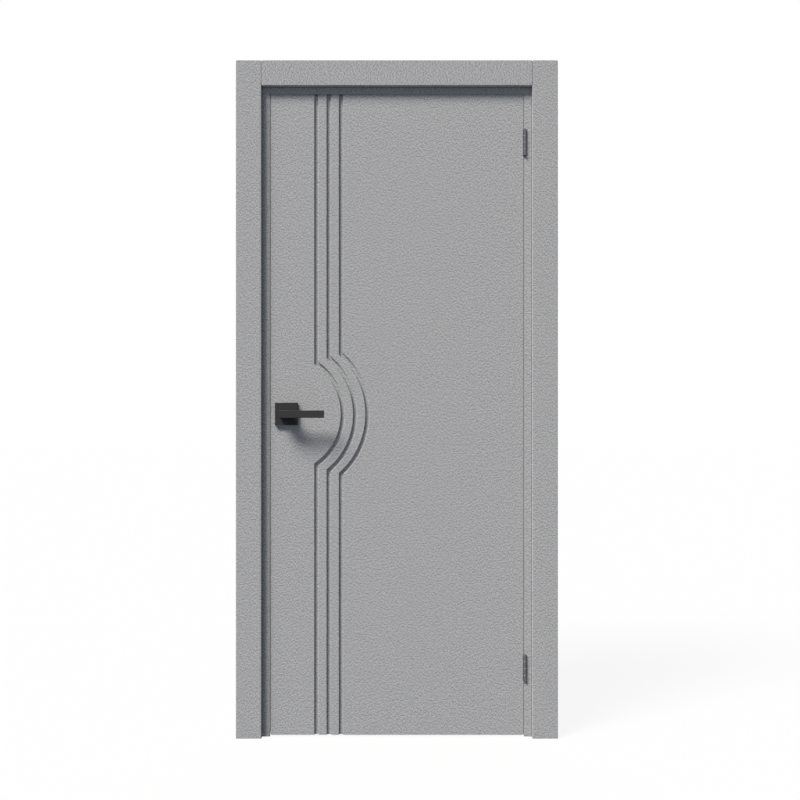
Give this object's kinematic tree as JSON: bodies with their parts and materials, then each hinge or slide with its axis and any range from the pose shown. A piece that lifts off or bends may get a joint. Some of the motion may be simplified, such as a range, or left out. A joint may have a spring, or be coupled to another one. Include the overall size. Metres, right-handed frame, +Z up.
{
  "type": "interior door set",
  "caption": "Flush interior door with bowed milled grooves and a lever handle, hung on butt hinges in a cased lining with stops and seals.",
  "frame": {"origin": "on the wall-side face of the hinge jamb, at floor level, in the middle of the wall's depth", "axes": "+Z up, +X out of the hinge jamb into the wall, -Y towards the viewer, on the side the leaf opens to"},
  "size_m": [1.012, 0.169, 2.132],
  "materials": {
    "grey_film": "grey grained film wrapped over fibreboard, matt",
    "board_core": "bare particle board",
    "handle_black": "matt black powder coat on zinc",
    "hinge_graphite": "graphite plated steel, satin",
    "washer_steel": "bright steel",
    "latch_steel": "nickel plated steel",
    "seal_rubber": "soft dark rubber",
    "lip_grey": "soft grey sealing lip, matt, in the film's colour"
  },
  "bodies": {
    "frame": {"hinge_jamb": "grey_film", "lock_jamb": "grey_film", "head_jamb": "grey_film", "hinge_stop": "grey_film", "lock_stop": "grey_film", "head_stop": "grey_film", "front_hinge_casing": "grey_film", "front_lock_casing": "grey_film", "front_head_casing": "grey_film", "back_hinge_casing": "grey_film", "back_lock_casing": "grey_film", "back_head_casing": "grey_film", "hinge_seal": "seal_rubber", "lock_seal": "seal_rubber", "head_seal": "seal_rubber", "hinge_lip_seal": "lip_grey", "lock_lip_seal": "lip_grey", "head_lip_seal": "lip_grey", "strike_plate": "latch_steel", "bottom_hinge_jamb_plate": "hinge_graphite", "top_hinge_jamb_plate": "hinge_graphite", "bottom_hinge_pin": "hinge_graphite", "top_hinge_pin": "hinge_graphite", "bottom_hinge_washers": "washer_steel", "top_hinge_washers": "washer_steel"},
    "door_leaf": {"leaf_front_skin": "grey_film", "leaf_back_skin": "grey_film", "hinge_side_edging": "grey_film", "lock_side_edging": "grey_film", "bottom_hinge_leaf_plate": "hinge_graphite", "top_hinge_leaf_plate": "hinge_graphite", "front_rosette": "handle_black", "back_rosette": "handle_black", "latch_case": "latch_steel", "latch_bolt": "latch_steel", "leaf_core": "board_core"},
    "lever_handle": {"front_lever": "handle_black", "back_lever": "handle_black", "spindle": "latch_steel"}
  },
  "joints": [
    {"name": "door_swing", "type": "hinge", "parent": "frame", "child": "door_leaf", "pos_m": [-0.0337, -0.0513, 0], "axis": [0, 0, 1], "range_deg": [0, 135]},
    {"name": "lever_turn", "type": "hinge", "parent": "door_leaf", "child": "lever_handle", "pos_m": [-0.787, -0.029, 1.02], "axis": [0, 1, 0], "range_deg": [0, 40], "stiffness_Nm_per_rad": 1.5, "springref_deg": -28.65}
  ]
}
